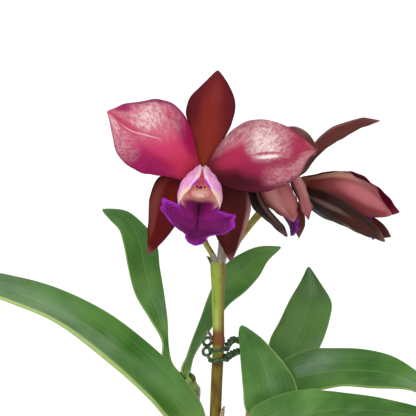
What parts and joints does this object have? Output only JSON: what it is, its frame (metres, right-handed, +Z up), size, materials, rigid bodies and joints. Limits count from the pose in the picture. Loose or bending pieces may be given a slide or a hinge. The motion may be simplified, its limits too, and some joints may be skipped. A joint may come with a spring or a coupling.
{
  "type": "potted cattleya orchid",
  "caption": "Cattleya orchid in a plain clay pot: leafy stems on a creeping rhizome, and a staked flower stem with blooms of broad petals and ruffled lips.",
  "frame": {"origin": "centre of the pot's flat base", "axes": "+Z up the plant, and the open bloom faces -Y"},
  "size_m": [0.2132, 0.1202, 0.3295],
  "materials": {
    "clay": "unglazed fired clay",
    "bark": "rough bark chips",
    "stem_green": "smooth living stem",
    "leaf_green": "smooth leathery leaf",
    "stalk_green": "smooth living stalk",
    "sheath_straw": "dry papery sheath",
    "cane": "plain cane",
    "tie_green": "plastic-coated wire",
    "sepal_red": "waxy sepal",
    "petal_magenta": "waxy petal",
    "lip_purple": "velvety lip",
    "column_rose": "waxy column"
  },
  "bodies": {
    "root": {"pot": "clay", "potting_bark": "bark", "rhizome": "stem_green", "leafy_stem_back_left": "stem_green", "leafy_stem_back_right": "stem_green", "leafy_stem_flowering": "stem_green", "leafy_stem_front": "stem_green", "leafy_stem_right": "stem_green", "leaf_back_centre": "leaf_green", "leaf_front_arching": "leaf_green", "leaf_front_upright": "leaf_green", "leaf_left_long": "leaf_green", "leaf_left_upright": "leaf_green", "leaf_right_arching": "leaf_green", "leaf_right_upright": "leaf_green", "flower_stem": "stalk_green", "sheath": "sheath_straw", "stake": "cane", "tie": "tie_green", "nodding_column": "column_rose", "nodding_dorsal_sepal": "sepal_red", "nodding_flower_stalk": "stalk_green", "nodding_left_lateral_sepal": "sepal_red", "nodding_left_petal": "petal_magenta", "nodding_lip": "lip_purple", "nodding_right_lateral_sepal": "sepal_red", "nodding_right_petal": "petal_magenta", "open_column": "column_rose", "open_dorsal_sepal": "sepal_red", "open_flower_stalk": "stalk_green", "open_left_lateral_sepal": "sepal_red", "open_left_petal": "petal_magenta", "open_lip": "lip_purple", "open_right_lateral_sepal": "sepal_red", "open_right_petal": "petal_magenta", "side_column": "column_rose", "side_dorsal_sepal": "sepal_red", "side_flower_stalk": "stalk_green", "side_left_lateral_sepal": "sepal_red", "side_left_petal": "petal_magenta", "side_lip": "lip_purple", "side_right_lateral_sepal": "sepal_red", "side_right_petal": "petal_magenta"}
  },
  "joints": []
}
